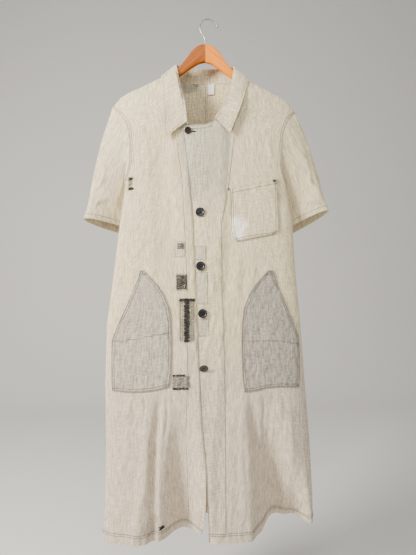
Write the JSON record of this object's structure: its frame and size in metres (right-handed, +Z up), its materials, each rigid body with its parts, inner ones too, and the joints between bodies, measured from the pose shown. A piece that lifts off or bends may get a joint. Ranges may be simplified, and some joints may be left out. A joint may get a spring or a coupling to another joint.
{
  "type": "work coat on a wooden hanger",
  "caption": "Long short-sleeved work coat in pale grey speckled cloth, buttoned at the front, with patch pockets, hanging on a wooden hanger with a wire hook.",
  "frame": {"origin": "inner top of the bend of the hanger's hook, where a rod or a nail holds it", "axes": "+Z up, -Y towards the front of the coat, +X towards the wearer's left"},
  "size_m": [0.6393, 0.1578, 1.3255],
  "materials": {
    "cloth": "matt salt-and-pepper weave, faded and stained",
    "pocket_cloth": "the same weave, less faded and crinkled",
    "button": "satin",
    "wood": "varnished",
    "wire": "drawn wire",
    "label": "plain tape"
  },
  "bodies": {
    "root": {"front_left": "cloth", "front_right": "cloth", "back_left": "cloth", "back_right": "cloth", "collar": "cloth", "sleeve_left": "cloth", "sleeve_right": "cloth", "chest_pocket": "pocket_cloth", "hip_pocket_left": "pocket_cloth", "hip_pocket_right": "pocket_cloth", "button_neck": "button", "button_1": "button", "button_2": "button", "button_3": "button", "button_4": "button", "hanger_arm_left": "wood", "hanger_arm_right": "wood", "hanger_hook": "wire", "neck_label": "label"}
  },
  "joints": []
}
